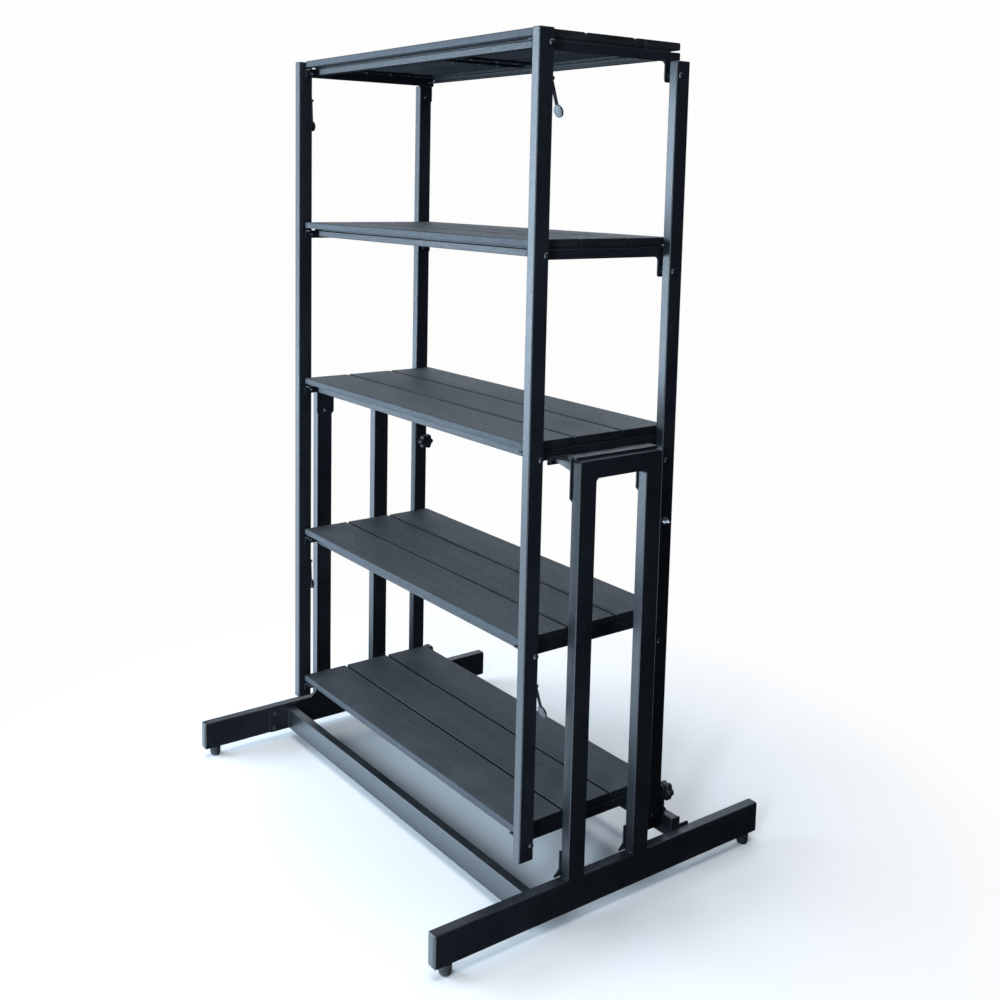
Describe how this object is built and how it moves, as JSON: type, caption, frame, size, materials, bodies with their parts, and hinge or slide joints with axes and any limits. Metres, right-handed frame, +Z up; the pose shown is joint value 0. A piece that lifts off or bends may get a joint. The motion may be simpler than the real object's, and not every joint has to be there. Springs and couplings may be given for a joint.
{
  "type": "folding shelf riser",
  "caption": "Folding display riser: level plank decks between tilting posts on a braced steel base, with lock knobs, turning the upright rack into stepped tiers.",
  "frame": {"origin": "on the floor, under the middle of the base", "axes": "+X along the shelves to the right seen from the front, -Y out of the front, +Z up"},
  "size_m": [1.1926, 0.9836, 1.961],
  "materials": {
    "powder_coat": "black textured powder coat on steel",
    "composite": "charcoal wood-plastic deck board, fine grain",
    "zinc": "zinc-plated steel",
    "black_plastic": "moulded black plastic",
    "black_rubber": "moulded black rubber"
  },
  "bodies": {
    "base": {"foot_bar_left": "powder_coat", "upright_left": "powder_coat", "carrier_left": "powder_coat", "front_end_cap_left": "black_plastic", "back_end_cap_left": "black_plastic", "front_pad_left": "black_rubber", "back_pad_left": "black_rubber", "foot_bar_right": "powder_coat", "upright_right": "powder_coat", "carrier_right": "powder_coat", "front_end_cap_right": "black_plastic", "back_end_cap_right": "black_plastic", "front_pad_right": "black_rubber", "back_pad_right": "black_rubber", "front_cross_bar": "powder_coat", "back_cross_bar": "powder_coat", "tier_3_frame": "powder_coat", "tier_3_board_front": "composite", "tier_3_board_middle": "composite", "tier_3_board_back": "composite"},
    "tier_1": {"tier_1_frame": "powder_coat", "tier_1_board_front": "composite", "tier_1_board_middle": "composite", "tier_1_board_back": "composite"},
    "tier_2": {"tier_2_frame": "powder_coat", "tier_2_board_front": "composite", "tier_2_board_middle": "composite", "tier_2_board_back": "composite"},
    "tier_4": {"tier_4_frame": "powder_coat", "tier_4_board_front": "composite", "tier_4_board_middle": "composite", "tier_4_board_back": "composite"},
    "tier_5": {"tier_5_frame": "powder_coat", "tier_5_board_front": "composite", "tier_5_board_middle": "composite", "tier_5_board_back": "composite"},
    "front_posts": {"front_post_left": "powder_coat", "pivot_bolt_1_left": "zinc", "pivot_bolt_2_left": "zinc", "pivot_bolt_3_left": "zinc", "pivot_bolt_4_left": "zinc", "pivot_bolt_5_left": "zinc", "front_post_right": "powder_coat", "pivot_bolt_1_right": "zinc", "pivot_bolt_2_right": "zinc", "pivot_bolt_3_right": "zinc", "pivot_bolt_4_right": "zinc", "pivot_bolt_5_right": "zinc"},
    "back_posts": {"back_post_left": "powder_coat", "back_post_right": "powder_coat"},
    "upper_knob_left": {"upper_knob_left": "black_plastic"},
    "lower_knob_left": {"lower_knob_left": "black_plastic"},
    "upper_catch_left": {"upper_catch_left": "powder_coat"},
    "lower_catch_left": {"lower_catch_left": "powder_coat"},
    "upper_knob_right": {"upper_knob_right": "black_plastic"},
    "lower_knob_right": {"lower_knob_right": "black_plastic"},
    "upper_catch_right": {"upper_catch_right": "powder_coat"},
    "lower_catch_right": {"lower_catch_right": "powder_coat"}
  },
  "joints": [
    {"name": "fold", "type": "hinge", "parent": "base", "child": "front_posts", "pos_m": [0, -0.193, 1.0521], "axis": [-1, 0, 0], "range_deg": [0, 40]},
    {"name": "back_posts_pivot", "type": "hinge", "parent": "base", "child": "back_posts", "pos_m": [0, 0.182, 1.008], "axis": [-1, 0, 0], "range_deg": [0, 40]},
    {"name": "tier_1_pivot", "type": "hinge", "parent": "front_posts", "child": "tier_1", "pos_m": [0, -0.193, 1.9286], "axis": [-1, 0, 0], "range_deg": [-40, 0]},
    {"name": "tier_2_pivot", "type": "hinge", "parent": "front_posts", "child": "tier_2", "pos_m": [0, -0.193, 1.4901], "axis": [-1, 0, 0], "range_deg": [-40, 0]},
    {"name": "tier_4_pivot", "type": "hinge", "parent": "front_posts", "child": "tier_4", "pos_m": [0, -0.193, 0.6141], "axis": [-1, 0, 0], "range_deg": [-40, 0]},
    {"name": "tier_5_pivot", "type": "hinge", "parent": "front_posts", "child": "tier_5", "pos_m": [0, -0.193, 0.1761], "axis": [-1, 0, 0], "range_deg": [-40, 0]},
    {"name": "upper_knob_left_turn", "type": "hinge", "parent": "back_posts", "child": "upper_knob_left", "pos_m": [-0.508, 0.188, 0.862], "axis": [-1, 0, 0], "continuous": true},
    {"name": "lower_knob_left_turn", "type": "hinge", "parent": "base", "child": "lower_knob_left", "pos_m": [-0.521, 0.2203, 0.175], "axis": [0, 1, 0], "continuous": true},
    {"name": "upper_catch_left_hinge", "type": "hinge", "parent": "front_posts", "child": "upper_catch_left", "pos_m": [-0.521, -0.1814, 1.8571], "axis": [1, 0, 0], "range_deg": [0, 32], "stiffness_Nm_per_rad": 0.4},
    {"name": "lower_catch_left_hinge", "type": "hinge", "parent": "front_posts", "child": "lower_catch_left", "pos_m": [-0.521, -0.1814, 0.5426], "axis": [1, 0, 0], "range_deg": [0, 32], "stiffness_Nm_per_rad": 0.4},
    {"name": "upper_knob_right_turn", "type": "hinge", "parent": "back_posts", "child": "upper_knob_right", "pos_m": [0.508, 0.188, 0.862], "axis": [1, 0, 0], "continuous": true},
    {"name": "lower_knob_right_turn", "type": "hinge", "parent": "base", "child": "lower_knob_right", "pos_m": [0.521, 0.2203, 0.175], "axis": [0, 1, 0], "continuous": true},
    {"name": "upper_catch_right_hinge", "type": "hinge", "parent": "front_posts", "child": "upper_catch_right", "pos_m": [0.521, -0.1814, 1.8571], "axis": [1, 0, 0], "range_deg": [-15, 20], "stiffness_Nm_per_rad": 0.4},
    {"name": "lower_catch_right_hinge", "type": "hinge", "parent": "front_posts", "child": "lower_catch_right", "pos_m": [0.521, -0.1814, 0.5426], "axis": [1, 0, 0], "range_deg": [-15, 20], "stiffness_Nm_per_rad": 0.4}
  ],
  "couplings": [
    {"joint": "back_posts_pivot", "follows": "fold", "ratio": 1},
    {"joint": "tier_1_pivot", "follows": "fold", "ratio": -1},
    {"joint": "tier_2_pivot", "follows": "fold", "ratio": -1},
    {"joint": "tier_4_pivot", "follows": "fold", "ratio": -1},
    {"joint": "tier_5_pivot", "follows": "fold", "ratio": -1}
  ]
}
